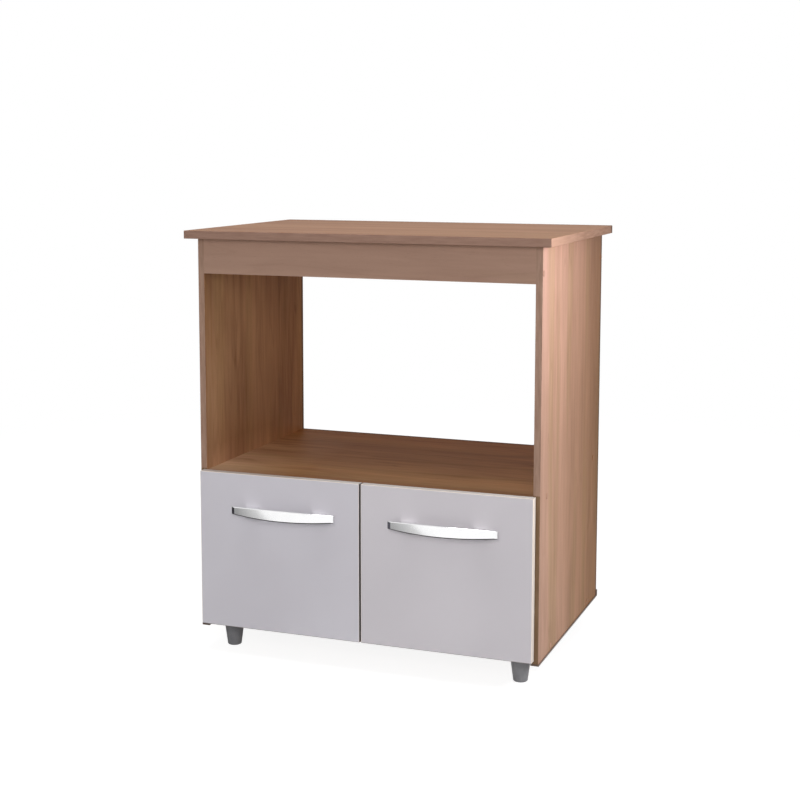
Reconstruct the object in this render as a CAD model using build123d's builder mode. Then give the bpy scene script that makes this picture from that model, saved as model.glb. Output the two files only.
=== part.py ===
from build123d import *
import os

os.makedirs("parts", exist_ok=True)

# A kitchen cabinet for an oven or a microwave: overhanging top, open niche, two-door cupboard on four feet.
# X runs to the right, Y to the back and Z up. The origin is on the floor, under the middle of the whole
# cabinet. All sizes are in millimetres.

# Overall sizes
overall_width = 700.0
overall_height = 800.0
carcass_width = 660.0
carcass_depth = 448.0

# Board thicknesses
top_thickness = 15.0
side_thickness = 12.0
board_thickness = 15.0
back_panel_thickness = 3.0
back_panel_inset = 2.0
back_panel_side_inset = 3.0
back_panel_notch = 12.0
edge_band_thickness = 1.0
edge_band_rounding = 0.8
top_corner_radius = 2.0
top_upper_radius = 1.0
top_lower_radius = 0.6

# Heights above the floor
foot_height = 50.0
side_bottom = 46.0
shelf_top = 349.0
door_bottom = 55.0
door_top = 350.0
apron_height = 65.0

# Overhangs and gaps
top_front_overhang = 19.0
top_back_overhang = back_panel_thickness
door_stand_off = 3.0
door_inset = 7.0
door_gap = 3.0

# Plastic guards along the bottom edges of the side panels
guard_wall = 1.5
guard_leg_height = 3.0
guard_end_height = 14.0
guard_overrun = 4.0
guard_end_radius = 3.6

# Feet
foot_top_radius = 19.7
foot_bottom_radius = 13.0
foot_rounding = 2.5
foot_inset = 44.0
foot_wall = 2.4
foot_boss_radius = 6.5
foot_floor = 6.0
foot_rib_thickness = 2.0
foot_rib_count = 4
foot_screw_seat = 22.0
foot_access_radius = 5.5

# Bow handles
handle_length = 204.0
handle_projection = 33.0
handle_end_projection = 20.0
handle_thickness_middle = 7.0
handle_thickness_end = 5.0
handle_end_facet = 6.5
handle_end_return = 2.0
handle_back_step = 1.0
handle_height_middle = 21.0
handle_height_end = 14.0
handle_upper_bevel = 1.2
handle_lower_bevel = 2.2
handle_post_spacing = 136.0
handle_post_width = 30.0
handle_post_height = 12.0
handle_post_rounding = 2.0
handle_post_flare = 2.0
handle_screw_spacing = 128.0
handle_height_above_floor = 284.0
handle_centre_x = {-1: -147.0, 1: 162.0}

# Concealed cup hinges
hinge_inset = 70.0
cup_radius = 17.5
cup_wall = 0.7
cup_floor = 0.8
cup_depth = 12.0
cup_edge_distance = 3.0
cup_flange_thickness = 1.0
cup_rim_radius = 19.0
cup_screw_spacing = 48.0
cup_screw_offset = 6.0
cup_ear_width = 13.0
cheek_radius = 3.2
knuckle_half_width = 4.5
knuckle_side_gap = 0.4
knuckle_radius = 2.2
hinge_pin_radius = 1.0
hinge_pin_length = 18.0
pivot_from_side = 1.75
pivot_before_front = 11.75
arm_thickness = 2.6
arm_toe = 0.45
arm_crank_reach = 16.5
arm_crank_back = 9.0
arm_rail_offset = 5.4
arm_end = 76.0
arm_bend_radius = 3.0
arm_channel_start = 14.0
arm_channel_half_width = 7.0
arm_channel_wall = 1.4
arm_adjuster_back = 24.0
arm_fixing_back = 56.0
plate_start = 17.0
plate_end = 72.0
plate_thickness = 2.0
plate_half_width = 9.0
plate_rib_half_width = 5.2
plate_rib_height = 4.0
plate_floor = 0.5
plate_screw_back = 37.0
plate_screw_spacing = 32.0
plate_wing_half_width = 6.0
plate_corner_radius = 4.0
plate_rib_end = 3.0
arm_slot_length = 10.0
arm_hole_radius = 2.5
arm_screw_radius = 2.4
fixing_head_radius = 4.2
fixing_head_height = 2.2
fixing_screw_gap = 0.7
adjuster_stand_up = 0.6
adjuster_slot_width = 0.8
adjuster_slot_depth = 1.0

# Fasteners
running_gap = 0.05
hole_clearance = 0.1
loose_clearance = 0.3
hole_end_gap = 0.5
screw_tip_gap = 1.0
countersink_angle = 90.0
carcass_screw_radius = 2.5
carcass_screw_head_radius = 4.0
carcass_screw_length = 48.0
carcass_screw_sink = 1.0
cap_radius = 5.5
cap_thickness = 0.8
cap_chamfer = 0.4
cap_stem_radius = 3.6
cap_stem_length = 0.8
dowel_radius = 4.0
dowel_length = 30.0
dowel_in_side = 8.0
top_dowel_radius = 3.0
top_dowel_length = 28.0
top_dowel_in_top = 9.0
fitting_screw_radius = 1.6
fitting_screw_head_radius = 3.2
fitting_screw_length = 12.0
foot_screw_length = 40.0
foot_screw_head_radius = 4.6
handle_screw_radius = 2.0
handle_screw_head_radius = 4.0
handle_screw_head_height = 2.4
handle_screw_depth = 12.0
nail_radius = 0.7
nail_head_radius = 2.0
nail_head_height = 0.6
nail_length = 16.0
bumper_radius = 4.0
bumper_thickness = 2.7
bumper_chamfer = 0.8
bumper_from_middle = 14.0
bracket_size = 22.0
bracket_width = 18.0
bracket_wall = 3.0
bracket_gusset = 2.0
bracket_screw_reach = 14.0

# Distances of the fasteners from the front and back of the carcass, from the rails' edges, and between nails
shelf_screw_inset = 47.0
bottom_screw_inset = 84.0
board_dowel_inset = 150.0
rail_fixing_inset = 18.0
top_dowel_inset = 60.0
bracket_inset = 120.0
side_nail_spacing = 71.0
board_nail_spacing = 120.0

# Planes and lines that the boards share
half_width = carcass_width / 2
inner_half = half_width - side_thickness
top_underside = overall_height - top_thickness
apron_bottom = top_underside - apron_height
front_reach = door_stand_off + board_thickness + handle_projection
back_reach = carcass_depth + guard_overrun
carcass_front = (front_reach - back_reach) / 2
carcass_back = carcass_front + carcass_depth
door_back = carcass_front - door_stand_off
door_front = door_back - board_thickness
door_outer = half_width - door_inset
door_inner = door_gap / 2
shelf_middle = shelf_top - board_thickness / 2
bottom_middle = foot_height + board_thickness / 2

# Directions in which a hole opens or a screw's head faces
LEFT, RIGHT = (-1, 0, 0), (1, 0, 0)
DOWN, UP = (0, 0, -1), (0, 0, 1)
BACK = (0, 1, 0)
SIDES = {"left": -1, "right": 1}


def facing(x, y, z, direction):
    """A place whose own Z axis points along direction, out of the surface."""
    return Plane(origin=(x, y, z), z_dir=direction).location


def outward(side):
    return LEFT if side < 0 else RIGHT


def inward(side):
    return RIGHT if side < 0 else LEFT


def downward(side):
    return DOWN


def row(x, places, direction):
    """Places at one x, given as (y, z) pairs."""
    return [facing(x, y, z, direction) for y, z in places]


def both_sides(x, places, turned):
    """The same row on the left and right, each facing the way that turned gives for its side."""
    return row(-x, places, turned(-1)) + row(x, places, turned(1))


def on_back(y, places):
    """Places at one y that face the back, given as (x, z) pairs."""
    return [facing(x, y, z, BACK) for x, z in places]


def board(x_range, y_range, z_range):
    """A flat board between two values on each axis."""
    with BuildPart() as blank:
        with BuildSketch(Plane.XY.offset(z_range[0])):
            with Locations((sum(x_range) / 2, sum(y_range) / 2)):
                Rectangle(x_range[1] - x_range[0], y_range[1] - y_range[0])
        extrude(amount=z_range[1] - z_range[0])
    return blank.part


def countersunk_screw(head_radius, shank_radius, length):
    """A screw with its head's face at the origin and its tip down the Z axis."""
    cone_height = head_radius - shank_radius
    with BuildPart() as screw:
        with BuildSketch(Plane.XZ):
            with BuildLine():
                Polyline(
                    (0, 0),
                    (head_radius, 0),
                    (shank_radius, -cone_height),
                    (shank_radius, -length),
                    (0, -length),
                    close=True,
                )
            make_face()
        revolve(axis=Axis.Z)
    return screw.part


def headed_pin(head_radius, head_height, shank_radius, length):
    """A screw or nail with a flat head on the surface at the origin and its shank down the Z axis."""
    with BuildPart() as pin:
        with BuildSketch():
            Circle(head_radius)
        extrude(amount=head_height)
        with BuildSketch():
            Circle(shank_radius)
        extrude(amount=-length)
    return pin.part


def dowel(radius, length):
    """A plain wooden dowel centred on the origin along Z."""
    with BuildPart() as pin:
        with BuildSketch(Plane.XY.offset(-length / 2)):
            Circle(radius)
        extrude(amount=length)
    return pin.part


def save(part, name):
    part.label = name
    export_step(part, f"parts/{name}.step")


# Places of the fasteners, as (y, z) on each side panel
rail_ys = (carcass_front + board_thickness / 2, carcass_back - board_thickness / 2)
shelf_screw_ys = (carcass_front + shelf_screw_inset, carcass_back - shelf_screw_inset)
bottom_screw_ys = (carcass_front + bottom_screw_inset, carcass_back - bottom_screw_inset)
board_dowel_ys = (carcass_front + board_dowel_inset, carcass_back - board_dowel_inset)
rail_screw_z = apron_bottom + rail_fixing_inset
rail_dowel_z = top_underside - rail_fixing_inset
hinge_zs = (door_bottom + hinge_inset, door_top - hinge_inset)
rail_screws = [(y, rail_screw_z) for y in rail_ys]
shelf_screws = [(y, shelf_middle) for y in shelf_screw_ys]
bottom_screws = [(y, bottom_middle) for y in bottom_screw_ys]
side_screws = rail_screws + shelf_screws + bottom_screws
rail_dowels = [(y, rail_dowel_z) for y in rail_ys]
shelf_dowels = [(y, shelf_middle) for y in board_dowel_ys]
bottom_dowels = [(y, bottom_middle) for y in board_dowel_ys]
side_dowels = rail_dowels + shelf_dowels + bottom_dowels
top_dowel_x = half_width - side_thickness / 2
top_dowel_ys = (carcass_front + top_dowel_inset, carcass_back - top_dowel_inset)
bracket_ys = (carcass_front + bracket_inset, carcass_back - bracket_inset)
top_dowels = [(y, top_underside) for y in top_dowel_ys]
bracket_top_screws = [(y, top_underside) for y in bracket_ys]
bracket_side_screws = [(y, top_underside - bracket_screw_reach) for y in bracket_ys]
side_nail_zs = [bottom_middle + step * side_nail_spacing for step in (1, 2, 3)]
board_nail_xs = [step * board_nail_spacing for step in (-2, -1, 0, 1, 2)]
cup_screw_offsets = (-cup_screw_spacing / 2, cup_screw_spacing / 2)
plate_screw_offsets = (-plate_screw_spacing / 2, plate_screw_spacing / 2)
plate_screw_y = carcass_front + plate_screw_back
plate_screws = [(plate_screw_y, z + step) for z in hinge_zs for step in plate_screw_offsets]
foot_places = {
    "front_left": (-half_width + foot_inset, carcass_front + foot_inset),
    "front_right": (half_width - foot_inset, carcass_front + foot_inset),
    "rear_left": (-half_width + foot_inset, carcass_back - foot_inset),
    "rear_right": (half_width - foot_inset, carcass_back - foot_inset),
}

screw_hole_radius = carcass_screw_radius + hole_clearance
screw_hole_depth = carcass_screw_sink + carcass_screw_length + screw_tip_gap - side_thickness
dowel_hole_radius = dowel_radius + hole_clearance
dowel_hole_depth = dowel_length - dowel_in_side + hole_end_gap
fitting_hole_radius = fitting_screw_radius + hole_clearance
fitting_head_hole_radius = fitting_screw_head_radius + hole_clearance
nail_hole_radius = nail_radius + hole_clearance

# Top board, with its edges eased
top_front = carcass_front - top_front_overhang
top_back = carcass_back + top_back_overhang
with BuildPart() as top_board:
    with BuildSketch(Plane.XY.offset(top_underside)):
        with Locations((0, (top_front + top_back) / 2)):
            Rectangle(overall_width, top_back - top_front)
    extrude(amount=top_thickness)
    fillet(top_board.edges().filter_by(Axis.Z), radius=top_corner_radius)
    fillet(top_board.edges().group_by(Axis.Z)[-1], radius=top_upper_radius)
    fillet(top_board.edges().group_by(Axis.Z)[0], radius=top_lower_radius)
    with Locations(*both_sides(top_dowel_x, top_dowels, downward)):
        Hole(top_dowel_radius + hole_clearance, top_dowel_in_top + hole_end_gap)
    with Locations(*both_sides(inner_half - bracket_screw_reach, bracket_top_screws, downward)):
        Hole(fitting_hole_radius, fitting_screw_length)
save(top_board.part, "top_board")

# Side panels, full height from the guard up to the top board
panel_bottom = side_bottom + guard_wall
for name, side in SIDES.items():
    outer_x, inner_x = side * half_width, side * inner_half
    with BuildPart() as side_panel:
        add(board(sorted((outer_x, inner_x)), (carcass_front, carcass_back), (panel_bottom, top_underside)))
        with Locations(*row(outer_x - side * carcass_screw_sink, side_screws, outward(side))):
            CounterSinkHole(
                screw_hole_radius,
                carcass_screw_head_radius + hole_clearance,
                counter_sink_angle=countersink_angle,
            )
        with Locations(*row(inner_x, side_dowels, inward(side))):
            Hole(dowel_hole_radius, dowel_in_side + hole_end_gap)
        with Locations(*row(inner_x, plate_screws, inward(side))):
            Hole(fitting_hole_radius, fitting_screw_length - plate_thickness)
        with Locations(*row(inner_x, bracket_side_screws, inward(side))):
            Hole(fitting_hole_radius, fitting_screw_length - bracket_wall)
        with Locations(*row(side * top_dowel_x, top_dowels, UP)):
            Hole(top_dowel_radius + hole_clearance, top_dowel_length - top_dowel_in_top + hole_end_gap)
        with Locations(*on_back(carcass_back, [(side * top_dowel_x, z) for z in side_nail_zs])):
            Hole(nail_hole_radius, nail_length - back_panel_thickness)
    save(side_panel.part, f"{name}_side_panel")

# Front apron and rear rail, between the side panels under the top board
rail_ranges = {
    "front_apron": (carcass_front, carcass_front + board_thickness),
    "rear_rail": (carcass_back - board_thickness, carcass_back),
}
for name, y_range in rail_ranges.items():
    middle_y = sum(y_range) / 2
    with BuildPart() as rail:
        add(board((-inner_half, inner_half), y_range, (apron_bottom, top_underside)))
        with Locations(*both_sides(inner_half, [(middle_y, rail_screw_z)], outward)):
            Hole(screw_hole_radius, screw_hole_depth)
        with Locations(*both_sides(inner_half, [(middle_y, rail_dowel_z)], outward)):
            Hole(dowel_hole_radius, dowel_hole_depth)
    save(rail.part, name)

# Niche shelf and cupboard bottom, alike but for the holes that take the feet's screws
shelf_kinds = {
    "niche_shelf": (shelf_top - board_thickness, shelf_screw_ys),
    "bottom_panel": (foot_height, bottom_screw_ys),
}
for name, (underside, screw_ys) in shelf_kinds.items():
    middle_z = underside + board_thickness / 2
    z_range = (underside, underside + board_thickness)
    with BuildPart() as shelf:
        add(board((-inner_half, inner_half), (carcass_front, carcass_back), z_range))
        with Locations(*both_sides(inner_half, [(y, middle_z) for y in screw_ys], outward)):
            Hole(screw_hole_radius, screw_hole_depth)
        with Locations(*both_sides(inner_half, [(y, middle_z) for y in board_dowel_ys], outward)):
            Hole(dowel_hole_radius, dowel_hole_depth)
        with Locations(*on_back(carcass_back, [(x, middle_z) for x in board_nail_xs])):
            Hole(nail_hole_radius, nail_length - back_panel_thickness)
        if name == "bottom_panel":
            with Locations(*[facing(x, y, foot_height, DOWN) for x, y in foot_places.values()]):
                Hole(screw_hole_radius, foot_screw_length - (foot_height - foot_screw_seat) + hole_end_gap)
    save(shelf.part, name)

# Thin back panel, nailed over the cupboard only
back_panel_half = half_width - back_panel_side_inset
back_panel_bottom = foot_height + back_panel_inset
back_panel_top = shelf_top - back_panel_inset
nail_places = [(side * top_dowel_x, z) for side in SIDES.values() for z in side_nail_zs]
nail_places += [(x, z) for x in board_nail_xs for z in (shelf_middle, bottom_middle)]
with BuildPart() as back_panel:
    add(
        board(
            (-back_panel_half, back_panel_half),
            (carcass_back, carcass_back + back_panel_thickness),
            (back_panel_bottom, back_panel_top),
        )
    )
    with Locations(*on_back(carcass_back + back_panel_thickness, nail_places)):
        Hole(nail_hole_radius)
    with BuildSketch(Plane.XZ.offset(-carcass_back)):
        with Locations(*[(side * back_panel_half, back_panel_bottom) for side in SIDES.values()]):
            Rectangle(2 * back_panel_notch, 2 * back_panel_notch)
    extrude(amount=-back_panel_thickness, mode=Mode.SUBTRACT)
save(back_panel.part, "back_panel")

with BuildPart() as back_panel_nails:
    nail = headed_pin(nail_head_radius, nail_head_height, nail_radius, nail_length)
    with Locations(*on_back(carcass_back + back_panel_thickness, nail_places)):
        add(nail)
save(back_panel_nails.part, "back_panel_nails")

# Edge guards: a shallow channel under each side panel, with a tall rounded stop at the back
guard_width = side_thickness + 2 * guard_wall
guard_front = carcass_front - guard_wall
for name, side in SIDES.items():
    middle_x = side * (half_width - side_thickness / 2)
    with BuildPart() as edge_guard:
        with BuildSketch(Plane.YZ.offset(middle_x - guard_width / 2)):
            with BuildLine():
                Polyline(
                    (guard_front, side_bottom),
                    (carcass_back + guard_overrun, side_bottom),
                    (carcass_back + guard_overrun, side_bottom + guard_end_height),
                    (carcass_back, side_bottom + guard_end_height),
                    (carcass_back, side_bottom + guard_leg_height),
                    (guard_front, side_bottom + guard_leg_height),
                    close=True,
                )
            make_face()
        extrude(amount=guard_width)
        stop_edges = edge_guard.edges().filter_by(Axis.X).group_by(Axis.Y)[-1]
        fillet(stop_edges, radius=guard_end_radius)
        with BuildSketch(Plane.XZ.offset(-carcass_front)):
            with Locations((middle_x, panel_bottom + guard_leg_height / 2)):
                Rectangle(side_thickness, guard_leg_height)
        extrude(amount=-carcass_depth, mode=Mode.SUBTRACT)
    save(edge_guard.part, f"{name}_edge_guard")

# Feet: plastic cones with a ribbed hollow, and a deep pocket under each for its screw
foot_slope = (foot_top_radius - foot_bottom_radius) / foot_height
foot_hollow_floor_radius = foot_bottom_radius + foot_slope * foot_floor - foot_wall
with BuildPart() as foot_hollow:
    with BuildSketch(Plane.XZ):
        with BuildLine():
            Polyline(
                (foot_boss_radius, foot_floor),
                (foot_hollow_floor_radius, foot_floor),
                (foot_top_radius - foot_wall, foot_height),
                (foot_boss_radius, foot_height),
                close=True,
            )
        make_face()
    revolve(axis=Axis.Z)
    with BuildSketch():
        with PolarLocations(0, foot_rib_count // 2):
            Rectangle(2 * foot_top_radius, foot_rib_thickness)
    extrude(amount=foot_height, mode=Mode.SUBTRACT)

with BuildPart() as foot:
    with BuildSketch(Plane.XZ):
        with BuildLine():
            Polyline(
                (0, 0),
                (foot_bottom_radius, 0),
                (foot_top_radius, foot_height),
                (0, foot_height),
                close=True,
            )
        make_face()
    revolve(axis=Axis.Z)
    fillet(foot.edges().group_by(Axis.Z)[0], radius=foot_rounding)
    add(foot_hollow.part, mode=Mode.SUBTRACT)
    with Locations(facing(0, 0, foot_screw_seat, DOWN)):
        CounterSinkHole(
            screw_hole_radius,
            foot_screw_head_radius + hole_clearance,
            counter_sink_angle=countersink_angle,
        )
    with BuildSketch():
        Circle(foot_access_radius)
    extrude(amount=foot_screw_seat, mode=Mode.SUBTRACT)

for name, (x, y) in foot_places.items():
    with BuildPart() as placed_foot:
        with Locations((x, y)):
            add(foot.part)
    save(placed_foot.part, f"{name}_foot")

with BuildPart() as foot_screws:
    foot_screw = countersunk_screw(foot_screw_head_radius, carcass_screw_radius, foot_screw_length)
    with Locations(*[facing(x, y, foot_screw_seat, DOWN) for x, y in foot_places.values()]):
        add(foot_screw)
save(foot_screws.part, "foot_screws")

# Screws, caps and dowels that join the boards
with BuildPart() as carcass_screws:
    carcass_screw = countersunk_screw(carcass_screw_head_radius, carcass_screw_radius, carcass_screw_length)
    with Locations(*both_sides(half_width - carcass_screw_sink, side_screws, outward)):
        add(carcass_screw)
save(carcass_screws.part, "carcass_screws")

with BuildPart() as cap:
    with BuildSketch():
        Circle(cap_radius)
    extrude(amount=cap_thickness)
    chamfer(cap.edges().group_by(Axis.Z)[-1], length=cap_chamfer)
    with BuildSketch():
        Circle(cap_stem_radius)
    extrude(amount=-cap_stem_length)
with BuildPart() as screw_caps:
    with Locations(*both_sides(half_width, side_screws, outward)):
        add(cap.part)
save(screw_caps.part, "screw_caps")

dowel_middle_x = inner_half + dowel_in_side - dowel_length / 2
top_dowel_middle_z = top_underside + top_dowel_in_top - top_dowel_length / 2
with BuildPart() as panel_dowels:
    with Locations(*both_sides(dowel_middle_x, side_dowels, outward)):
        add(dowel(dowel_radius, dowel_length))
    with Locations(*both_sides(top_dowel_x, [(y, top_dowel_middle_z) for y in top_dowel_ys], downward)):
        add(dowel(top_dowel_radius, top_dowel_length))
save(panel_dowels.part, "panel_dowels")

# Corner brackets that hold the top board down, moulded with two gussets each
fitting_screw = countersunk_screw(fitting_screw_head_radius, fitting_screw_radius, fitting_screw_length)
with BuildPart() as left_brackets:
    corner_x, corner_z = -inner_half, top_underside
    for y in bracket_ys:
        with BuildSketch(Plane.XZ.offset(bracket_width / 2 - y)):
            with BuildLine():
                Polyline(
                    (corner_x, corner_z),
                    (corner_x + bracket_size, corner_z),
                    (corner_x + bracket_size, corner_z - bracket_wall),
                    (corner_x + bracket_wall, corner_z - bracket_size),
                    (corner_x, corner_z - bracket_size),
                    close=True,
                )
            make_face()
        extrude(amount=-bracket_width)
        pocket = bracket_size - bracket_wall
        with BuildSketch(Plane.XZ.offset(bracket_width / 2 - bracket_gusset - y)):
            with Locations((corner_x + bracket_wall + pocket / 2, corner_z - bracket_wall - pocket / 2)):
                Rectangle(pocket, pocket)
        extrude(amount=2 * bracket_gusset - bracket_width, mode=Mode.SUBTRACT)
        with Locations(
            facing(corner_x + bracket_screw_reach, y, corner_z - bracket_wall, DOWN),
            facing(corner_x + bracket_wall, y, corner_z - bracket_screw_reach, RIGHT),
        ):
            CounterSinkHole(
                fitting_hole_radius,
                fitting_head_hole_radius,
                bracket_wall + hole_end_gap,
                counter_sink_angle=countersink_angle,
            )
with BuildPart() as corner_brackets:
    add(left_brackets.part)
    mirror(about=Plane.YZ)
save(corner_brackets.part, "corner_brackets")

bracket_top_heads = [(y, top_underside - bracket_wall) for y in bracket_ys]
with BuildPart() as bracket_screws:
    with Locations(
        *both_sides(inner_half - bracket_screw_reach, bracket_top_heads, downward),
        *both_sides(inner_half - bracket_wall, bracket_side_screws, inward),
    ):
        add(fitting_screw)
save(bracket_screws.part, "bracket_screws")

# Doors: a grey-faced core, a pale edge band all round, a bow handle and two bumpers
cup_x = door_outer - cup_edge_distance - cup_radius
cup_screw_x = cup_x - cup_screw_offset
cup_screw_zs = [z + step for z in hinge_zs for step in cup_screw_offsets]
bottom_bumper_z = door_bottom + bumper_radius + 2 * edge_band_thickness
for name, side in SIDES.items():
    x_range = sorted((side * door_outer, side * door_inner))
    core_x = (x_range[0] + edge_band_thickness, x_range[1] - edge_band_thickness)
    core_z = (door_bottom + edge_band_thickness, door_top - edge_band_thickness)
    handle_screw_xs = [handle_centre_x[side] + s * handle_screw_spacing / 2 for s in (-1, 1)]
    handle_screw_places = [(x, handle_height_above_floor) for x in handle_screw_xs]
    with BuildPart() as door_panel:
        add(board(core_x, (door_front, door_back), core_z))
        with Locations(*on_back(door_back, [(side * cup_x, z) for z in hinge_zs])):
            Hole(cup_radius + hole_clearance, cup_depth + 2 * hole_clearance)
        with Locations(*on_back(door_back, [(side * cup_screw_x, z) for z in cup_screw_zs])):
            CounterSinkHole(
                fitting_hole_radius,
                fitting_head_hole_radius - cup_flange_thickness,
                fitting_screw_length - cup_flange_thickness,
                counter_sink_angle=countersink_angle,
            )
        with Locations(*on_back(door_back, handle_screw_places)):
            Hole(handle_screw_radius + loose_clearance)
    save(door_panel.part, f"{name}_door_panel")

    with BuildPart() as edge_band:
        add(board(x_range, (door_front, door_back), (door_bottom, door_top)))
        fillet(edge_band.edges(), radius=edge_band_rounding)
        add(board(core_x, (door_front, door_back), core_z), mode=Mode.SUBTRACT)
    save(edge_band.part, f"{name}_door_edge_band")

    with BuildPart() as handle_screws:
        handle_screw = headed_pin(
            handle_screw_head_radius,
            handle_screw_head_height,
            handle_screw_radius,
            board_thickness + handle_screw_depth,
        )
        with Locations(*on_back(door_back, handle_screw_places)):
            add(handle_screw)
    save(handle_screws.part, f"{name}_handle_screws")

    with BuildPart() as bumpers:
        for z in (shelf_middle, bottom_bumper_z):
            with BuildSketch(Plane.XZ.offset(-door_back)):
                with Locations((side * bumper_from_middle, z)):
                    Circle(bumper_radius)
            extrude(amount=-bumper_thickness)
        chamfer(bumpers.edges().filter_by(GeomType.CIRCLE).group_by(Axis.Y)[-1], length=bumper_chamfer)
    save(bumpers.part, f"{name}_door_bumpers")

# Bow handle: a plan profile bowed away from the door, cut to an outline that is tallest in the middle
handle_end_zs = [handle_height_above_floor + way * handle_height_end / 2 for way in (-1, 1)]
handle_middle_zs = [handle_height_above_floor + way * handle_height_middle / 2 for way in (-1, 1)]
for name, side in SIDES.items():
    centre_x = handle_centre_x[side]
    left_x, right_x = centre_x - handle_length / 2, centre_x + handle_length / 2
    end_y = door_front - handle_end_projection
    middle_y = door_front - handle_projection
    inner_end_y = end_y + handle_thickness_end
    with BuildPart() as handle:
        with BuildSketch(Plane.XY.offset(handle_height_above_floor - handle_height_middle)):
            with BuildLine():
                outer_bow = ThreePointArc(
                    (left_x + handle_end_facet, end_y),
                    (centre_x, middle_y),
                    (right_x - handle_end_facet, end_y),
                )
                inner_bow = ThreePointArc(
                    (right_x - handle_back_step, inner_end_y),
                    (centre_x, middle_y + handle_thickness_middle),
                    (left_x + handle_back_step, inner_end_y),
                )
                Polyline(outer_bow @ 1, (right_x, inner_end_y - handle_end_return), inner_bow @ 0)
                Polyline(inner_bow @ 1, (left_x, inner_end_y - handle_end_return), outer_bow @ 0)
            make_face()
        extrude(amount=2 * handle_height_middle)
        with BuildSketch(Plane.XZ.offset(-door_front)):
            with BuildLine():
                top_line = ThreePointArc(
                    (left_x, handle_end_zs[1]),
                    (centre_x, handle_middle_zs[1]),
                    (right_x, handle_end_zs[1]),
                )
                bottom_line = ThreePointArc(
                    (right_x, handle_end_zs[0]),
                    (centre_x, handle_middle_zs[0]),
                    (left_x, handle_end_zs[0]),
                )
                Line(top_line @ 1, bottom_line @ 0)
                Line(bottom_line @ 1, top_line @ 0)
            make_face()
        extrude(amount=2 * handle_projection, mode=Mode.INTERSECT)
        for end, bevel in ((0, handle_lower_bevel), (-1, handle_upper_bevel)):
            long_edges = handle.edges().filter_by(lambda edge: edge.length > handle_length / 2)
            chamfer(long_edges.group_by(Axis.Y)[0].sort_by(Axis.Z)[end], length=bevel)
        for way in (-1, 1):
            for out, width in (
                (0, handle_post_width),
                (handle_end_projection, handle_post_width + handle_post_flare),
            ):
                with BuildSketch(Plane.XZ.offset(out - door_front)):
                    with Locations((centre_x + way * handle_post_spacing / 2, handle_height_above_floor)):
                        RectangleRounded(width, handle_post_height, handle_post_rounding)
            loft()
        screw_xs = [centre_x + way * handle_screw_spacing / 2 for way in (-1, 1)]
        with Locations(*on_back(door_front, [(x, handle_height_above_floor) for x in screw_xs])):
            Hole(handle_screw_radius + running_gap, handle_screw_depth + hole_end_gap)
    save(handle.part, f"{name}_handle")

# Cup hinges. Each door turns on a pin across its cups, close to the cup's outer wall and low in it, so the
# door's own edge swings clear of the side panel. A cranked arm reaches in through the cup's mouth to that
# pin. The left pair is drawn first and mirrored for the right door.
hinge_cup_x = -cup_x
ear_screws = [(-cup_screw_x, z) for z in cup_screw_zs]
cup_hollow_radius = cup_radius - cup_wall
pivot_x = -inner_half + pivot_from_side
pivot_y = carcass_front - pivot_before_front
cup_plane_y = -door_back
ear_face_y = door_back + cup_flange_thickness
arm_line = [
    (pivot_x, pivot_y - arm_toe),
    (-inner_half + arm_crank_reach, pivot_y - arm_toe),
    (-inner_half + arm_crank_reach, carcass_front + arm_crank_back),
    (-inner_half + arm_rail_offset, carcass_front + arm_crank_back),
    (-inner_half + arm_rail_offset, carcass_front + arm_end),
]
rail_near = -inner_half + arm_rail_offset - arm_thickness / 2
rail_far = -inner_half + arm_rail_offset + arm_thickness / 2

with BuildPart() as left_cups:
    for z in hinge_zs:
        with BuildSketch(Plane.XZ.offset(cup_plane_y)):
            with Locations((hinge_cup_x, z)):
                Circle(cup_radius)
        extrude(amount=cup_depth)
        with BuildSketch(Plane.XZ.offset(cup_plane_y)):
            with Locations((hinge_cup_x, z)):
                Circle(cup_rim_radius)
            with Locations((-cup_screw_x, z)):
                SlotCenterToCenter(cup_screw_spacing, cup_ear_width, rotation=90)
        extrude(amount=-cup_flange_thickness)
        with BuildSketch(Plane.XZ.offset(cup_plane_y - cup_flange_thickness)):
            with Locations((hinge_cup_x, z)):
                Circle(cup_hollow_radius)
        cheek_top = pivot_y + cheek_radius
        extrude(amount=door_back + cup_flange_thickness - cheek_top, mode=Mode.SUBTRACT)
        with BuildSketch(Plane.XZ.offset(cup_plane_y)):
            with Locations((hinge_cup_x, z)):
                Circle(cup_hollow_radius)
            cheek_height = 2 * cup_radius
            cheek_start = knuckle_half_width + knuckle_side_gap
            with Locations(
                (pivot_x, z + cheek_start + cheek_height / 2),
                (pivot_x, z - cheek_start - cheek_height / 2),
            ):
                Rectangle(2 * cheek_radius, cheek_height, mode=Mode.SUBTRACT)
        extrude(amount=cup_depth - cup_floor, mode=Mode.SUBTRACT)
        with BuildSketch(Plane.XY.offset(z - hinge_pin_length / 2)):
            with Locations((pivot_x, pivot_y)):
                Circle(hinge_pin_radius + running_gap)
        extrude(amount=hinge_pin_length, mode=Mode.SUBTRACT)
    with Locations(*on_back(ear_face_y, ear_screws)):
        CounterSinkHole(
            fitting_hole_radius,
            fitting_head_hole_radius,
            cup_flange_thickness + hole_end_gap,
            counter_sink_angle=countersink_angle,
        )

with BuildPart() as left_pins:
    for z in hinge_zs:
        with BuildSketch(Plane.XY.offset(z - hinge_pin_length / 2)):
            with Locations((pivot_x, pivot_y)):
                Circle(hinge_pin_radius)
        extrude(amount=hinge_pin_length)

with BuildPart() as left_cup_screws:
    with Locations(*on_back(ear_face_y, ear_screws)):
        add(fitting_screw)

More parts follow.
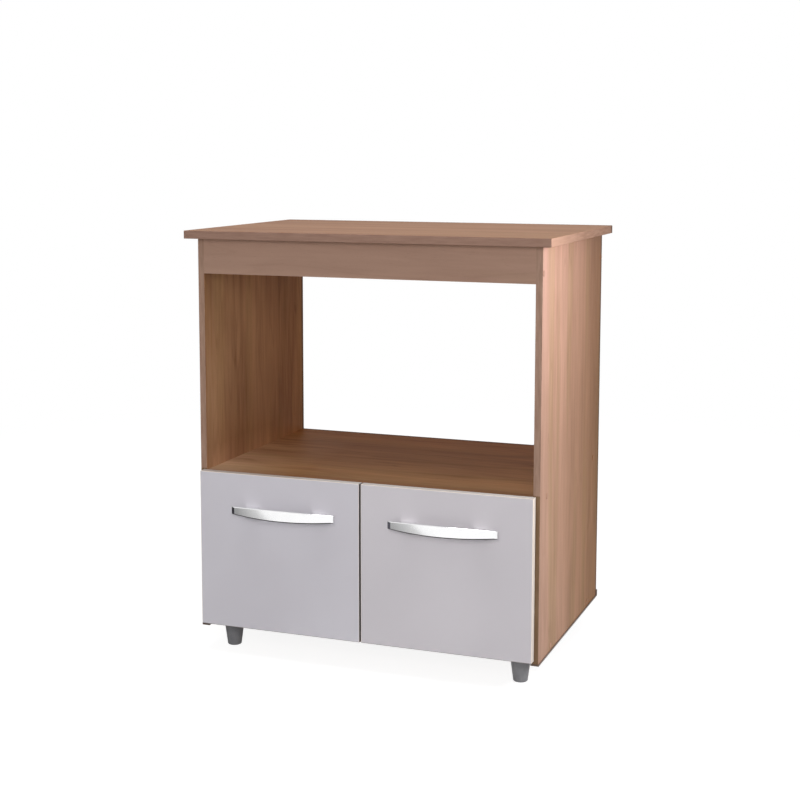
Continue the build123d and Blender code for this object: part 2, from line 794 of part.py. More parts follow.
with BuildPart() as left_arms:
    for z in hinge_zs:
        with BuildSketch(Plane.XY.offset(z - knuckle_half_width)):
            with BuildLine():
                FilletPolyline(*arm_line, radius=arm_bend_radius)
                offset(amount=arm_thickness / 2, side=Side.BOTH)
            make_face()
            with Locations((pivot_x, pivot_y)):
                Circle(knuckle_radius)
        extrude(amount=2 * knuckle_half_width)
        with BuildSketch(Plane.XY.offset(z - arm_channel_half_width)):
            with BuildLine():
                Polyline(
                    (rail_far, carcass_front + arm_channel_start),
                    (rail_far, carcass_front + arm_end),
                    (rail_near - arm_channel_wall, carcass_front + arm_end),
                    (rail_near - arm_channel_wall, carcass_front + arm_channel_start + arm_bend_radius),
                    close=True,
                )
            make_face()
        extrude(amount=2 * arm_channel_half_width)
        with BuildSketch(Plane.XY.offset(z - arm_channel_half_width + arm_channel_wall)):
            with Locations((rail_near - arm_channel_wall, carcass_front + (arm_channel_start + arm_end) / 2)):
                Rectangle(2 * arm_channel_wall, arm_end - arm_channel_start)
        extrude(amount=2 * (arm_channel_half_width - arm_channel_wall), mode=Mode.SUBTRACT)
        with Locations(facing(rail_far, carcass_front + arm_adjuster_back, z, RIGHT)):
            Hole(arm_hole_radius, arm_thickness)
        with BuildSketch(Plane.YZ.offset(rail_far)):
            with Locations((carcass_front + arm_fixing_back, z)):
                SlotOverall(arm_slot_length, 2 * arm_hole_radius)
        extrude(amount=-arm_thickness, mode=Mode.SUBTRACT)
        with BuildSketch(Plane.XY.offset(z - knuckle_half_width)):
            with Locations((pivot_x, pivot_y)):
                Circle(hinge_pin_radius + running_gap)
        extrude(amount=2 * knuckle_half_width, mode=Mode.SUBTRACT)

with BuildPart() as left_plates:
    for z in hinge_zs:
        with BuildSketch(Plane.YZ.offset(-inner_half)):
            with Locations((carcass_front + (plate_start + plate_end) / 2, z)):
                RectangleRounded(plate_end - plate_start, 2 * plate_half_width, plate_corner_radius)
            with Locations((carcass_front + plate_screw_back, z)):
                SlotCenterToCenter(plate_screw_spacing, 2 * plate_wing_half_width, rotation=90)
        extrude(amount=plate_thickness)
        with BuildSketch(Plane.YZ.offset(-inner_half)):
            with Locations((carcass_front + (plate_start + plate_end) / 2, z)):
                Rectangle(plate_end - plate_start - 2 * plate_rib_end, 2 * plate_rib_half_width)
        extrude(amount=plate_rib_height)
        with Locations(facing(-inner_half + plate_rib_height, carcass_front + arm_fixing_back, z, RIGHT)):
            Hole(arm_hole_radius, plate_rib_height - plate_floor)
    with Locations(*row(-inner_half + plate_thickness, plate_screws, RIGHT)):
        CounterSinkHole(
            fitting_hole_radius,
            fitting_head_hole_radius,
            plate_thickness,
            counter_sink_angle=countersink_angle,
        )

with BuildPart() as left_plate_screws:
    with Locations(*row(-inner_half + plate_thickness, plate_screws, RIGHT)):
        add(fitting_screw)

fixing_screw = headed_pin(
    fixing_head_radius,
    fixing_head_height,
    arm_screw_radius,
    rail_far + inner_half - fixing_screw_gap,
)
adjuster_length = rail_far + inner_half - plate_rib_height + adjuster_stand_up
with BuildPart() as adjuster_screw:
    with BuildSketch():
        Circle(arm_screw_radius)
    extrude(amount=-adjuster_length)
    with BuildSketch():
        Rectangle(2 * arm_screw_radius, adjuster_slot_width)
    extrude(amount=-adjuster_slot_depth, mode=Mode.SUBTRACT)
with BuildPart() as left_arm_screws:
    with Locations(*row(rail_far, [(carcass_front + arm_fixing_back, z) for z in hinge_zs], RIGHT)):
        add(fixing_screw)
    adjuster_places = [(carcass_front + arm_adjuster_back, z) for z in hinge_zs]
    with Locations(*row(rail_far + adjuster_stand_up, adjuster_places, RIGHT)):
        add(adjuster_screw.part)

hinge_nodes = {
    "hinge_cups": left_cups,
    "hinge_pins": left_pins,
    "hinge_cup_screws": left_cup_screws,
    "hinge_arms": left_arms,
    "hinge_arm_screws": left_arm_screws,
    "hinge_mounting_plates": left_plates,
    "hinge_plate_screws": left_plate_screws,
}
for name, left_part in hinge_nodes.items():
    save(left_part.part, f"left_{name}")
    with BuildPart() as right_part:
        add(left_part.part)
        mirror(about=Plane.YZ, mode=Mode.REPLACE)
    save(right_part.part, f"right_{name}")
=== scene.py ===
import math

import bmesh
import bpy
from mathutils import Matrix, Vector


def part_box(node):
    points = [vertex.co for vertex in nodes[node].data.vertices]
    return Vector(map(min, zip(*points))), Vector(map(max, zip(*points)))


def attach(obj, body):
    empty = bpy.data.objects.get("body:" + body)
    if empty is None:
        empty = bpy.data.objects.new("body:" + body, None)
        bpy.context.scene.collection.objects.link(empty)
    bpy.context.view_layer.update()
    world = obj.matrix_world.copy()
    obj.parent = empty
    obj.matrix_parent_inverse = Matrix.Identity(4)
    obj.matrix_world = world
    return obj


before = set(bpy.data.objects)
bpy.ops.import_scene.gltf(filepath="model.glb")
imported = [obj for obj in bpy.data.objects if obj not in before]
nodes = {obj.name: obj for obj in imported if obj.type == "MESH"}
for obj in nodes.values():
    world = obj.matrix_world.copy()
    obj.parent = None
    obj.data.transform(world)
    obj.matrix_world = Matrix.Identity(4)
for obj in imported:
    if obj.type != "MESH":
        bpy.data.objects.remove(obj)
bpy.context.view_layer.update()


# Camera, solved from the photograph of 800 x 800 pixels. Its lens has less shift than the photograph's,
# because the views from other sides are taken with the same lens.
SENSOR = 36.0
FOCAL_PIXELS = 1497.8
PICTURE = 800
CAMERA_PLACE = (0.9894, -2.6726, 0.9499)
CAMERA_AZIMUTH = math.radians(20.935)
CAMERA_PITCH = math.radians(-6.823)
CAMERA_SHIFT = (0.0176, -0.09)
NEAREST_SEEN = 0.05

lens = bpy.data.cameras.new("camera")
lens.sensor_width = SENSOR
lens.lens = FOCAL_PIXELS / PICTURE * SENSOR
lens.shift_x, lens.shift_y = CAMERA_SHIFT
lens.clip_start = NEAREST_SEEN
camera = bpy.data.objects.new("camera", lens)
bpy.context.scene.collection.objects.link(camera)
camera.location = CAMERA_PLACE
look_along = Vector((
    -math.sin(CAMERA_AZIMUTH) * math.cos(CAMERA_PITCH),
    math.cos(CAMERA_AZIMUTH) * math.cos(CAMERA_PITCH),
    math.sin(CAMERA_PITCH),
))
camera.rotation_euler = look_along.to_track_quat("-Z", "Y").to_euler()
bpy.context.scene.camera = camera
bpy.context.scene.view_settings.view_transform = "Standard"


def linear(red, green, blue):
    """A colour written as sRGB values from 0 to 255, as the linear colour that shaders take."""
    values = []
    for level in (red, green, blue):
        level = level / 255
        values.append(level / 12.92 if level <= 0.04045 else ((level + 0.055) / 1.055) ** 2.4)
    return (*values, 1.0)


class Look:
    """One material, built up from nodes that read the piece's own coordinates."""

    def __init__(self, name, **constants):
        self.material = bpy.data.materials.new(name)
        self.material.use_nodes = True
        self.tree = self.material.node_tree
        self.shader = self.tree.nodes["Principled BSDF"]
        self.where = self.add("ShaderNodeTexCoord")
        for socket, value in constants.items():
            self.shader.inputs[socket.replace("_", " ")].default_value = value

    def add(self, kind, **settings):
        node = self.tree.nodes.new(kind)
        for name, value in settings.items():
            setattr(node, name, value)
        return node

    def feed(self, socket, value):
        if isinstance(value, bpy.types.NodeSocket):
            self.tree.links.new(value, socket)
        elif value is not None:
            socket.default_value = value

    def place(self, scale=(1, 1, 1), offset=(0, 0, 0), turn=(0, 0, 0), vector=None):
        node = self.add("ShaderNodeMapping")
        self.feed(node.inputs["Vector"], vector or self.where.outputs["Object"])
        node.inputs["Location"].default_value = offset
        node.inputs["Rotation"].default_value = turn
        node.inputs["Scale"].default_value = scale
        return node.outputs["Vector"]

    def noise(self, vector, scale, detail=2.0, rough=0.5, bend=0.0):
        node = self.add("ShaderNodeTexNoise")
        self.feed(node.inputs["Vector"], vector)
        node.inputs["Scale"].default_value = scale
        node.inputs["Detail"].default_value = detail
        node.inputs["Roughness"].default_value = rough
        node.inputs["Distortion"].default_value = bend
        return node.outputs[0]

    def cells(self, vector, scale):
        node = self.add("ShaderNodeTexVoronoi")
        self.feed(node.inputs["Vector"], vector)
        node.inputs["Scale"].default_value = scale
        return node.outputs["Color"]

    def maths(self, operation, first, second=None, clamp=False):
        node = self.add("ShaderNodeMath", operation=operation, use_clamp=clamp)
        self.feed(node.inputs[0], first)
        self.feed(node.inputs[1], second)
        return node.outputs[0]

    def sum_of(self, first, first_share, second, second_share):
        return self.maths(
            "ADD", self.maths("MULTIPLY", first, first_share), self.maths("MULTIPLY", second, second_share))

    def spread(self, value, low, high, to_low=0.0, to_high=1.0, smooth=False):
        node = self.add("ShaderNodeMapRange", interpolation_type="SMOOTHSTEP" if smooth else "LINEAR")
        self.feed(node.inputs["Value"], value)
        for socket, level in zip(("From Min", "From Max", "To Min", "To Max"), (low, high, to_low, to_high)):
            node.inputs[socket].default_value = level
        return node.outputs["Result"]

    def ramp(self, value, *stops):
        node = self.add("ShaderNodeValToRGB")
        self.feed(node.inputs["Fac"], value)
        points = node.color_ramp.elements
        while len(points) < len(stops):
            points.new(0.5)
        for point, (position, colour) in zip(points, stops):
            point.position = position
            point.color = colour
        return node.outputs["Color"]

    def tones(self, marks, dark, light, low=0.3, high=0.7):
        """Two colours and a fade between them, over the range that most of a noise keeps to."""
        return self.ramp(marks, (low, dark), (high, light))

    def mix(self, factor, first, second, blend="MIX"):
        node = self.add("ShaderNodeMix", data_type="RGBA", blend_type=blend)
        self.feed(node.inputs[0], factor)
        self.feed(node.inputs[6], first)
        self.feed(node.inputs[7], second)
        return node.outputs[2]

    def parts(self, vector):
        node = self.add("ShaderNodeSeparateXYZ")
        self.feed(node.inputs[0], vector)
        return node.outputs

    def tinted(self, base, tints, first, second):
        """The colour multiplied by four tints, which blend along two spans. A span is an axis and where it
        starts and ends. The tints are for both starts, the first's end, the second's end and both ends."""
        here = self.parts(self.where.outputs["Object"])
        along, over = (
            self.spread(here["XYZ".index(axis)], start, end)
            for axis, start, end in (first, second)
        )
        colours = [(*tint, 1.0) for tint in tints]
        near, far = self.mix(along, *colours[:2]), self.mix(along, *colours[2:])
        return self.mix(1.0, base, self.mix(over, near, far), "MULTIPLY")

    def colour(self, value):
        self.feed(self.shader.inputs["Base Color"], value)

    def rough(self, marks, polished, dull, low=0.3, high=0.7):
        self.feed(self.shader.inputs["Roughness"], self.spread(marks, low, high, polished, dull))

    def bump(self, height, depth, strength):
        node = self.add("ShaderNodeBump")
        self.feed(node.inputs["Height"], height)
        node.inputs["Strength"].default_value = strength
        node.inputs["Distance"].default_value = depth
        self.feed(self.shader.inputs["Normal"], node.outputs[0])

    def glow(self, strength):
        node = self.add("ShaderNodeEmission")
        self.feed(node.inputs["Strength"], strength)
        return node.outputs[0]

    def surface(self, value):
        self.feed(self.tree.nodes["Material Output"].inputs["Surface"], value)


# Wood-grain laminate. Along the grain every mark is much longer than it is wide.
GRAIN_TURNS = {
    "x": (0.0, math.radians(90), 0.0),
    "z": (0.0, 0.0, 0.0),
}
GRAIN_STRETCH = 0.06
DRIFT_STRETCH = 0.5
FIGURE_STRETCH = 0.17
FLAME_STRETCH = 1.6
EDGE_STRETCH = 0.1
GRAIN_WANDER = 0.016
SEED_STEPS = (1.7, 0.9, 2.3)
# How fine each kind of mark is, as the scale of its noise, and how much of a board's tone it makes up
FINENESS = {
    "drift": 6.0, "bands": 14.0, "figure": 26.0, "streaks": 85.0, "lines": 260.0, "fibres": 900.0,
    "flames": 30.0, "patches": 22.0, "pores": 1500.0, "edges": 220.0, "chip_dust": 600.0,
}
SHARES = {"bands": 0.22, "figure": 0.36, "streaks": 0.30, "lines": 0.08, "fibres": 0.04}
# Where the tones of a board lie, and what its veins, pores, edges and chipboard look like
TONE_MIDDLE = 0.49
TONE_REACH = 0.2
LIGHT_SHARE = 0.55
VEIN_WIDTH = 0.035
VEIN_DEPTH = 0.06
PORE_STRENGTH = 0.3
PORE_TONE = 0.45
GRAIN_DEPTH = 0.00006
CHIP_SIZE = 0.0035
CHIP_HEIGHT = 1.6
# Painted shade: the dark line beside a board's rear edge
EDGE_LINE = linear(58, 42, 32)
EDGE_LINE_STRENGTH = 0.62
# Painted shade: the doors' shadow on the upright boards' front edges, below the doors' tops
SHADED = (0.56, 0.55, 0.43, 1.0)
SHADE_FADE = 0.002
OLIVE = (0.86, 0.93, 0.76, 1.0)
# Painted light: the top's end faces grow paler towards the front over this span of y
END_FADE = (-0.24, 0.02)
END_PALE = 0.75

# How far a normal leans along an axis before its face counts as turned that way
FRONTWARD = -0.7
REARWARD = 0.9
LEFTWARD = -0.5
ENDWARD = 0.7


def wood(name, grain, light, dark, seed, contrast=1.0, gloss=0.08, raw_beyond=None, edge_lines=(), band=None,
         ends=None, shades=(), outside=None, olive=0.3):
    """Laminated board. raw_beyond is the y past which its rearward faces show bare chipboard. edge_lines are
    planes beside which it has a dark line of painted shade, each an axis, a level and a width. band holds the
    tones of its front edge, with the doors' shadow painted on it on an upright board up to the doors' tops.
    ends holds the tones of its end faces, the last of them at the front, where they are painted paler for the
    light. shades holds what tinted() takes, the painted light and shade, and outside is the tint of its
    leftward face instead of those. olive is how strong its greener patches are."""
    look = Look(name, Specular_IOR_Level=gloss)
    turned = look.place(turn=GRAIN_TURNS[grain], offset=[seed * step for step in SEED_STEPS])
    drift = look.noise(look.place(scale=(1, 1, DRIFT_STRETCH), vector=turned), FINENESS["drift"])
    sway = look.maths("MULTIPLY", look.maths("SUBTRACT", drift, 0.5), GRAIN_WANDER)
    x, y, z = look.parts(turned)
    joined = look.add("ShaderNodeCombineXYZ")
    look.feed(joined.inputs[0], look.maths("ADD", x, sway))
    look.feed(joined.inputs[1], look.maths("ADD", y, sway))
    look.feed(joined.inputs[2], look.maths("MULTIPLY", z, GRAIN_STRETCH))
    along = joined.outputs[0]
    bands = look.noise(along, FINENESS["bands"], detail=1.0, rough=0.4)
    marks = {
        "bands": look.spread(bands, 0.3, 0.7, 0.2, 0.8, smooth=True),
        "figure": look.noise(
            look.place(scale=(1, 1, FIGURE_STRETCH / GRAIN_STRETCH), vector=along),
            FINENESS["figure"], detail=2.0, rough=0.5, bend=0.6),
        "streaks": look.noise(along, FINENESS["streaks"], detail=3.0, rough=0.55, bend=0.3),
        "lines": look.noise(along, FINENESS["lines"], detail=2.0, rough=0.6),
        "fibres": look.noise(along, FINENESS["fibres"], detail=2.0, rough=0.6),
    }
    tone = 0.0
    for kind, share in SHARES.items():
        tone = look.maths("ADD", tone, look.maths("MULTIPLY", marks[kind], share))
    tall = look.place(scale=(1, 1, FLAME_STRETCH), vector=along)
    flame = look.noise(tall, FINENESS["flames"], detail=1.0, rough=0.4, bend=0.5)
    from_vein = look.maths("ABSOLUTE", look.maths("SUBTRACT", flame, 0.5))
    tone = look.maths("SUBTRACT", tone, look.spread(from_vein, 0.0, VEIN_WIDTH, VEIN_DEPTH, 0.0, smooth=True))
    reach = TONE_REACH / contrast
    middle = tuple(a * LIGHT_SHARE + b * (1 - LIGHT_SHARE) for a, b in zip(light, dark))
    base = look.ramp(look.spread(tone, TONE_MIDDLE - reach, TONE_MIDDLE + reach),
                     (0.0, dark), (0.5, middle), (1.0, light))
    patches = look.spread(look.noise(along, FINENESS["patches"], detail=1.0), 0.5, 0.62, 0.0, olive)
    base = look.mix(patches, base, look.mix(1.0, base, OLIVE, "MULTIPLY"))
    specks = look.noise(along, FINENESS["pores"], detail=1.0)
    pores = look.spread(specks, 0.66, 0.78, 0.0, PORE_STRENGTH, smooth=True)
    base = look.mix(pores, base, tuple(level * PORE_TONE for level in dark[:3]) + (1.0,))
    here = look.parts(look.where.outputs["Object"])
    facing = look.parts(look.where.outputs["Normal"])
    plain = base
    for shade in shades:
        base = look.tinted(base, *shade)
    if outside is not None:
        plain = look.mix(1.0, plain, (*outside, 1.0), "MULTIPLY")
        base = look.mix(look.maths("LESS_THAN", facing[0], LEFTWARD), base, plain)
    if band is not None:
        stretch = (EDGE_STRETCH, EDGE_STRETCH, 1) if grain == "x" else (1, 1, EDGE_STRETCH)
        edgeways = look.noise(look.place(scale=stretch), FINENESS["edges"], detail=3.0, rough=0.6)
        strip = look.tones(edgeways, *band)
        # Painted shade of the doors on the front edge, below the doors' tops
        if grain == "z":
            clear = look.spread(here[2], DOOR_TOP, DOOR_TOP + SHADE_FADE)
            strip = look.mix(1.0, strip, look.mix(clear, SHADED, (1, 1, 1, 1)), "MULTIPLY")
        base = look.mix(look.maths("LESS_THAN", facing[1], FRONTWARD), base, strip)
    if ends is not None:
        lower, upper, front = ends
        endways = look.noise(look.place(scale=(1, EDGE_STRETCH, 1)), FINENESS["edges"], detail=3.0, rough=0.6)
        end = look.maths("GREATER_THAN", look.maths("ABSOLUTE", facing[0]), ENDWARD)
        # Painted light: the end faces paler towards the front
        fading = look.spread(here[1], *END_FADE, END_PALE, 0.0)
        base = look.mix(end, base, look.mix(fading, look.tones(endways, lower, upper), front))
    # Painted shade: dark lines beside the given planes
    for axis, level, width in edge_lines:
        gap = look.maths("ABSOLUTE", look.maths("SUBTRACT", here["XYZ".index(axis)], level))
        line = look.spread(gap, width * 0.4, width, EDGE_LINE_STRENGTH, 0.0, smooth=True)
        base = look.mix(line, base, EDGE_LINE)
    if raw_beyond is not None:
        chips = look.place(scale=(1, CHIP_HEIGHT, 1))
        dust = look.noise(chips, FINENESS["chip_dust"], detail=3.0)
        core = look.mix(
            0.5,
            look.tones(dust, linear(150, 112, 74), linear(214, 182, 138)),
            look.tones(look.cells(chips, 1 / CHIP_SIZE), linear(138, 104, 70), linear(216, 186, 146),
                       low=0.0, high=1.0))
        raw = look.maths("MULTIPLY",
                         look.maths("GREATER_THAN", facing[1], REARWARD),
                         look.maths("GREATER_THAN", here[1], raw_beyond))
        base = look.mix(raw, base, core)
    look.colour(base)
    look.rough(marks["fibres"], 0.48, 0.6, low=0.25, high=0.75)
    look.bump(look.sum_of(marks["fibres"], 1.0, marks["lines"], 0.6), GRAIN_DEPTH, 0.6)
    return look.material


# Depths of surface texture
FACE_TEXTURE = 0.00004
PLATED_TEXTURE = 0.00002
POLISHED_TEXTURE = 0.000004
BOARD_TEXTURE = 0.0001
DOWEL_TEXTURE = 0.00008
RUBBER_TEXTURE = 0.00003
FOOT_TEXTURE = 0.00008


def laminate(name, light, dark, seed):
    """Plain melamine face with a faint orange-peel texture."""
    look = Look(name, Specular_IOR_Level=0.3)
    at = look.place(offset=(seed, seed * 1.3, seed * 0.7))
    cloud = look.noise(at, scale=5.0)
    speck = look.noise(at, scale=700.0, detail=3.0, rough=0.6)
    look.colour(look.tones(look.sum_of(cloud, 0.8, speck, 0.2), dark, light, low=0.35, high=0.65))
    look.rough(speck, 0.34, 0.44)
    look.bump(speck, FACE_TEXTURE, 0.5)
    return look.material


# Painted shade in the doors' middle joint, and on the faces of their edge bands that look up
JOINT_SHADE_TONES = (linear(90, 84, 90), linear(110, 103, 108))
UPWARD_SHADE = linear(96, 92, 96)
UPWARD_SHADE_CLEAR = 0.52
JOINT_REACH = 0.01
IN_THE_OPEN = (0.8, 0.97)
SIDEWAYS = (0.8, 0.9)
UPWARD = (0.75, 0.95)

# Spans of a normal over which chrome is given painted reflections, the tones that it would mirror
TURNED_LEFT = (-0.38, -0.31)
TURNED_DOWN = (-0.7, -0.15)


def plastic(name, light, dark, rough, seed, grain=900.0, depth=FACE_TEXTURE, joint_shade=None, shades=(),
            **constants):
    """Moulded plastic: a slight cloud in the colour and a spark-eroded skin. joint_shade is how far from x =
    0 the rims of the doors' middle joint carry painted shade. The faces inside the joint are as dark while
    the other door hides them, and pale once a door is swung open. Faces that look up carry a lighter painted
    shade."""
    look = Look(name, **constants)
    at = look.place(offset=(seed, seed * 0.6, seed * 1.9))
    cloud = look.noise(at, scale=40.0, detail=3.0, rough=0.55)
    skin = look.noise(at, grain, detail=3.0, rough=0.65)
    base = look.tones(look.sum_of(cloud, 0.6, skin, 0.4), dark, light, low=0.35, high=0.68)
    if joint_shade is not None:
        from_middle = look.maths("ABSOLUTE", look.parts(look.where.outputs["Object"])[0])
        facing = look.parts(look.where.outputs["Normal"])
        open_sky = look.add("ShaderNodeAmbientOcclusion")
        open_sky.inputs["Distance"].default_value = JOINT_REACH
        sideways = look.spread(look.maths("ABSOLUTE", facing[0]), *SIDEWAYS)
        swung = look.maths("MULTIPLY", look.spread(open_sky.outputs["AO"], *IN_THE_OPEN), sideways)
        # Painted shade: the rims of the middle joint are darkened while the doors are shut
        joint_shaded = look.maths("SUBTRACT", look.maths("LESS_THAN", from_middle, joint_shade), swung, clamp=True)
        base = look.mix(joint_shaded, base, look.tones(cloud, *JOINT_SHADE_TONES))
        # Painted shade on faces that look up, for the shelf's shadow over the doors' tops
        base = look.mix(look.spread(facing[2], *UPWARD, 1.0, UPWARD_SHADE_CLEAR), UPWARD_SHADE, base)
    for shade in shades:
        base = look.tinted(base, *shade)
    look.colour(base)
    look.rough(skin, rough - 0.06, rough + 0.08)
    look.bump(skin, depth, 0.7)
    return look.material


def metal(name, light, dark, rough, seed, grain=500.0, depth=PLATED_TEXTURE, sheen=1.0,
          below=None, leftward=None):
    """Plated metal: a clouded plating, and fine polishing marks. sheen is how much of it mirrors, and below
    and leftward are painted reflections, the tones given to faces turned those ways."""
    look = Look(name, Metallic=sheen)
    at = look.place(offset=(seed, seed * 1.1, seed * 0.8))
    cloud = look.noise(at, scale=60.0, detail=3.0, rough=0.6)
    marks = look.noise(look.place(scale=(1, 1, 14), vector=at), grain, detail=2.0, rough=0.6)
    base = look.tones(cloud, dark, light)
    # Painted reflection: faces turned left and down take darker tones
    if below is not None:
        facing = look.parts(look.where.outputs["Normal"])
        base = look.mix(look.spread(facing[0], *TURNED_LEFT, 1.0, 0.0), base, leftward)
        base = look.mix(look.spread(facing[2], *TURNED_DOWN, 1.0, 0.0, smooth=True), base, below)
    look.colour(base)
    look.rough(marks, rough * 0.8, rough * 1.3)
    look.bump(marks, depth, 0.4)
    return look.material


def hardboard():
    """The smooth side of a thin fibre board."""
    look = Look("hardboard_face", Specular_IOR_Level=0.3)
    fuzz = look.noise(look.place(), scale=420.0, detail=5.0, rough=0.7)
    cloud = look.noise(look.place(), scale=9.0, detail=3.0, rough=0.6)
    look.colour(look.tones(look.sum_of(fuzz, 0.6, cloud, 0.4), linear(112, 80, 52), linear(164, 126, 88)))
    look.rough(fuzz, 0.6, 0.8)
    look.bump(fuzz, BOARD_TEXTURE, 0.8)
    return look.material


def timber():
    """Plain wood with its grain along x, as dowels have it."""
    look = Look("beech_dowel", Specular_IOR_Level=0.3)
    grain = look.noise(look.place(scale=(0.1, 1, 1)), scale=700.0, detail=3.0, rough=0.6)
    look.colour(look.tones(grain, linear(190, 148, 106), linear(226, 190, 148)))
    look.rough(grain, 0.55, 0.7)
    look.bump(grain, DOWEL_TEXTURE, 0.7)
    return look.material


def rubber():
    """Clear soft plastic, a little hazy."""
    look = Look("bumper_rubber", Transmission_Weight=0.55, IOR=1.45)
    haze = look.noise(look.place(), scale=500.0, detail=3.0, rough=0.6)
    look.colour(look.tones(haze, linear(214, 216, 214), linear(240, 241, 238)))
    look.rough(haze, 0.18, 0.34)
    look.bump(haze, RUBBER_TEXTURE, 0.4)
    return look.material


def dress(material, *names):
    """Gives every slot of the named nodes this material."""
    for name in names:
        slots = nodes[name].data.materials
        for index in range(len(slots)):
            slots[index] = material


SIDE_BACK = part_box("right_side_panel")[1].y
TOP_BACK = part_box("top_board")[1].y
DOOR_BOTTOM, DOOR_TOP = (corner.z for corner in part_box("left_door_edge_band"))
REAR_SKIN = 0.001
SILL_HEIGHT = 0.0009
SILL_FADE = 0.0004
JOINT_RIM = 0.0018

# How the light falls off along the boards, as tints over spans of the cabinet
WHOLE = (1.0, 1.0, 1.0)
DEPTH = ("Y", -0.2, 0.22)
HEIGHT = ("Z", 0.3, 0.78)
FRONT_EDGE = ("Y", -0.2, -0.13)
REAR_HALF = ("Y", -0.1, 0.1)
SHELF_LEFT = ("X", -0.318, -0.14)
SHELF_RIGHT = ("X", 0.08, 0.3)
ABOVE_SHELF = ("Z", 0.349, 0.39)
LOWER_HALF = ("Z", 0.1, 0.4)
UPPER_HALF = ("Z", 0.44, 0.7)
# Painted shade: a dark line along the foot of the door edge bands, for the shadow under the doors
DOOR_SILL = ("Z", DOOR_BOTTOM + SILL_HEIGHT, DOOR_BOTTOM + SILL_HEIGHT + SILL_FADE)
SILL_DARK = (0.34, 0.34, 0.36)
RIGHT_SHADES = (
    (((0.93, 1.0, 1.03), (0.57, 0.49, 0.3), (1.08, 1.11, 1.22), (0.43, 0.36, 0.26)), DEPTH, HEIGHT),
    (((0.84, 0.84, 0.84), (1.03, 1.03, 1.03), (0.84, 0.84, 0.84), (1.08, 1.09, 1.08)), FRONT_EDGE, HEIGHT),
    ((WHOLE, (0.85, 0.84, 0.82), WHOLE, (1.01, 1.02, 1.02)), LOWER_HALF, UPPER_HALF),
)
LEFT_SHADES = (
    (((0.8, 0.81, 0.84), (0.75, 0.59, 0.39), (1.35, 1.46, 1.48), (1.13, 1.0, 0.87)), DEPTH, HEIGHT),
    ((WHOLE, (1.3, 1.35, 1.5), (0.78, 0.78, 0.76), (1.04, 1.04, 1.02)), FRONT_EDGE, ABOVE_SHELF),
)
SHELF_SHADES = (
    (((1.52, 1.95, 2.7), (0.84, 0.65, 0.41), (1.02, 0.99, 0.92), (0.64, 0.44, 0.26)), DEPTH, SHELF_LEFT),
    (((0.51, 0.47, 0.46), WHOLE, (0.51, 0.47, 0.46), WHOLE), FRONT_EDGE, SHELF_LEFT),
    ((WHOLE, WHOLE, WHOLE, (1.22, 1.22, 1.2)), REAR_HALF, SHELF_RIGHT),
)
SILL_SHADES = (((SILL_DARK, WHOLE, SILL_DARK, WHOLE), DOOR_SILL, DOOR_SILL),)

# What each piece is made of. TOP_LINES and BACK_LINES paint a dark line of shade beside the rear edges of the
# top, the side panels and the shelf.
BAND = (linear(156, 124, 106), linear(178, 146, 128))
TOP_LINES = [("Y", TOP_BACK, 0.016)]
BACK_LINES = [("Y", SIDE_BACK, 0.012)]
dress(wood("wood_top", "x", linear(172, 131, 104), linear(141, 101, 77), seed=1.0, contrast=0.9, gloss=0.03,
           raw_beyond=TOP_BACK - REAR_SKIN, edge_lines=TOP_LINES,
           band=(linear(151, 119, 104), linear(167, 134, 118)),
           ends=(linear(158, 119, 99), linear(181, 143, 122), linear(214, 170, 148))), "top_board")
# The right panel is the same laminate with paler tones than the other boards: a painted sheen
dress(wood("wood_right", "z", linear(226, 175, 152), linear(182, 137, 110), seed=2.0, olive=0.6,
           raw_beyond=SIDE_BACK - REAR_SKIN, edge_lines=BACK_LINES, band=BAND,
           shades=RIGHT_SHADES),
      "right_side_panel")
# The left panel is the same laminate with darker tones, painted shade for the niche it faces; outside
# lightens its outer face again
dress(wood("wood_left", "z", linear(196, 148, 110), linear(150, 102, 68), seed=3.4, contrast=1.4, gloss=0.04,
           raw_beyond=SIDE_BACK - REAR_SKIN, edge_lines=BACK_LINES, band=BAND,
           shades=LEFT_SHADES, outside=(1.22, 1.27, 1.5)),
      "left_side_panel")
dress(wood("wood_apron", "x", linear(184, 150, 131), linear(160, 127, 110), seed=4.2, contrast=0.8),
      "front_apron")
dress(wood("wood_rail", "x", linear(178, 146, 126), linear(150, 118, 98), seed=5.1), "rear_rail")
dress(wood("wood_shelf", "x", linear(204, 154, 110), linear(156, 106, 68), seed=9.4, contrast=1.25,
           gloss=0.02, raw_beyond=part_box("niche_shelf")[1].y - REAR_SKIN, edge_lines=BACK_LINES, band=BAND,
           shades=SHELF_SHADES),
      "niche_shelf")
dress(wood("wood_bottom", "x", linear(186, 148, 118), linear(152, 112, 84), seed=7.7,
           raw_beyond=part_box("bottom_panel")[1].y - REAR_SKIN, band=BAND), "bottom_panel")
dress(laminate("door_face_left", linear(222, 219, 226), linear(217, 213, 220), seed=1.0), "left_door_panel")
dress(laminate("door_face_right", linear(222, 217, 222), linear(216, 211, 216), seed=2.0),
      "right_door_panel")
# The edge band carries painted shade in the middle joint and on its upward faces
dress(plastic("edge_band", linear(252, 240, 231), linear(246, 233, 223), rough=0.35, seed=1.0,
              joint_shade=JOINT_RIM, shades=SILL_SHADES),
      "left_door_edge_band", "right_door_edge_band")
